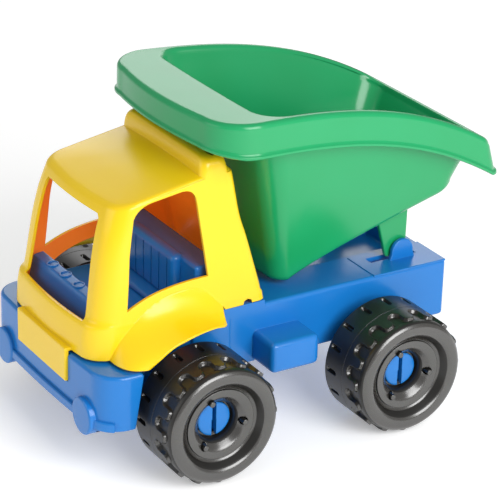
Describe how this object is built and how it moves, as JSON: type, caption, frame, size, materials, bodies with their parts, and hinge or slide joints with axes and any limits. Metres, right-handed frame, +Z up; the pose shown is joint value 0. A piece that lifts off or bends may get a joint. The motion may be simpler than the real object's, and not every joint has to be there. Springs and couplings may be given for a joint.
{
  "type": "toy dump truck",
  "caption": "Moulded sand-pit toy dump truck: open-windowed cab with flared wheel arches, tipping bed with a broad rolled rim, and press-fitted two-part wheels.",
  "frame": {"origin": "on the ground, under the middle of the truck's length and width", "axes": "-Y is the way the truck drives, +X is its left side, +Z is up"},
  "size_m": [0.268, 0.3754, 0.2735],
  "materials": {
    "blue_plastic": "gloss injection-moulded polypropylene",
    "yellow_plastic": "gloss injection-moulded polypropylene",
    "green_plastic": "gloss injection-moulded polypropylene",
    "black_plastic": "satin injection-moulded polypropylene"
  },
  "bodies": {
    "frame": {"chassis": "blue_plastic", "cab_shell": "yellow_plastic"},
    "bed": {"tipper_bed": "green_plastic"},
    "wheel_front_left": {"wheel_front_left_outer_half": "black_plastic", "wheel_front_left_inner_half": "black_plastic"},
    "wheel_front_right": {"wheel_front_right_outer_half": "black_plastic", "wheel_front_right_inner_half": "black_plastic"},
    "wheel_rear_left": {"wheel_rear_left_outer_half": "black_plastic", "wheel_rear_left_inner_half": "black_plastic"},
    "wheel_rear_right": {"wheel_rear_right_outer_half": "black_plastic", "wheel_rear_right_inner_half": "black_plastic"}
  },
  "joints": [
    {"name": "bed_tip", "type": "hinge", "parent": "frame", "child": "bed", "pos_m": [0, 0.11675, 0.118], "axis": [-1, 0, 0], "range_deg": [0, 60]},
    {"name": "front_left_roll", "type": "hinge", "parent": "frame", "child": "wheel_front_left", "pos_m": [0.1075, -0.09925, 0.05], "axis": [1, 0, 0], "continuous": true},
    {"name": "front_right_roll", "type": "hinge", "parent": "frame", "child": "wheel_front_right", "pos_m": [-0.1075, -0.09925, 0.05], "axis": [1, 0, 0], "continuous": true},
    {"name": "rear_left_roll", "type": "hinge", "parent": "frame", "child": "wheel_rear_left", "pos_m": [0.1075, 0.07275, 0.05], "axis": [1, 0, 0], "continuous": true},
    {"name": "rear_right_roll", "type": "hinge", "parent": "frame", "child": "wheel_rear_right", "pos_m": [-0.1075, 0.07275, 0.05], "axis": [1, 0, 0], "continuous": true}
  ]
}
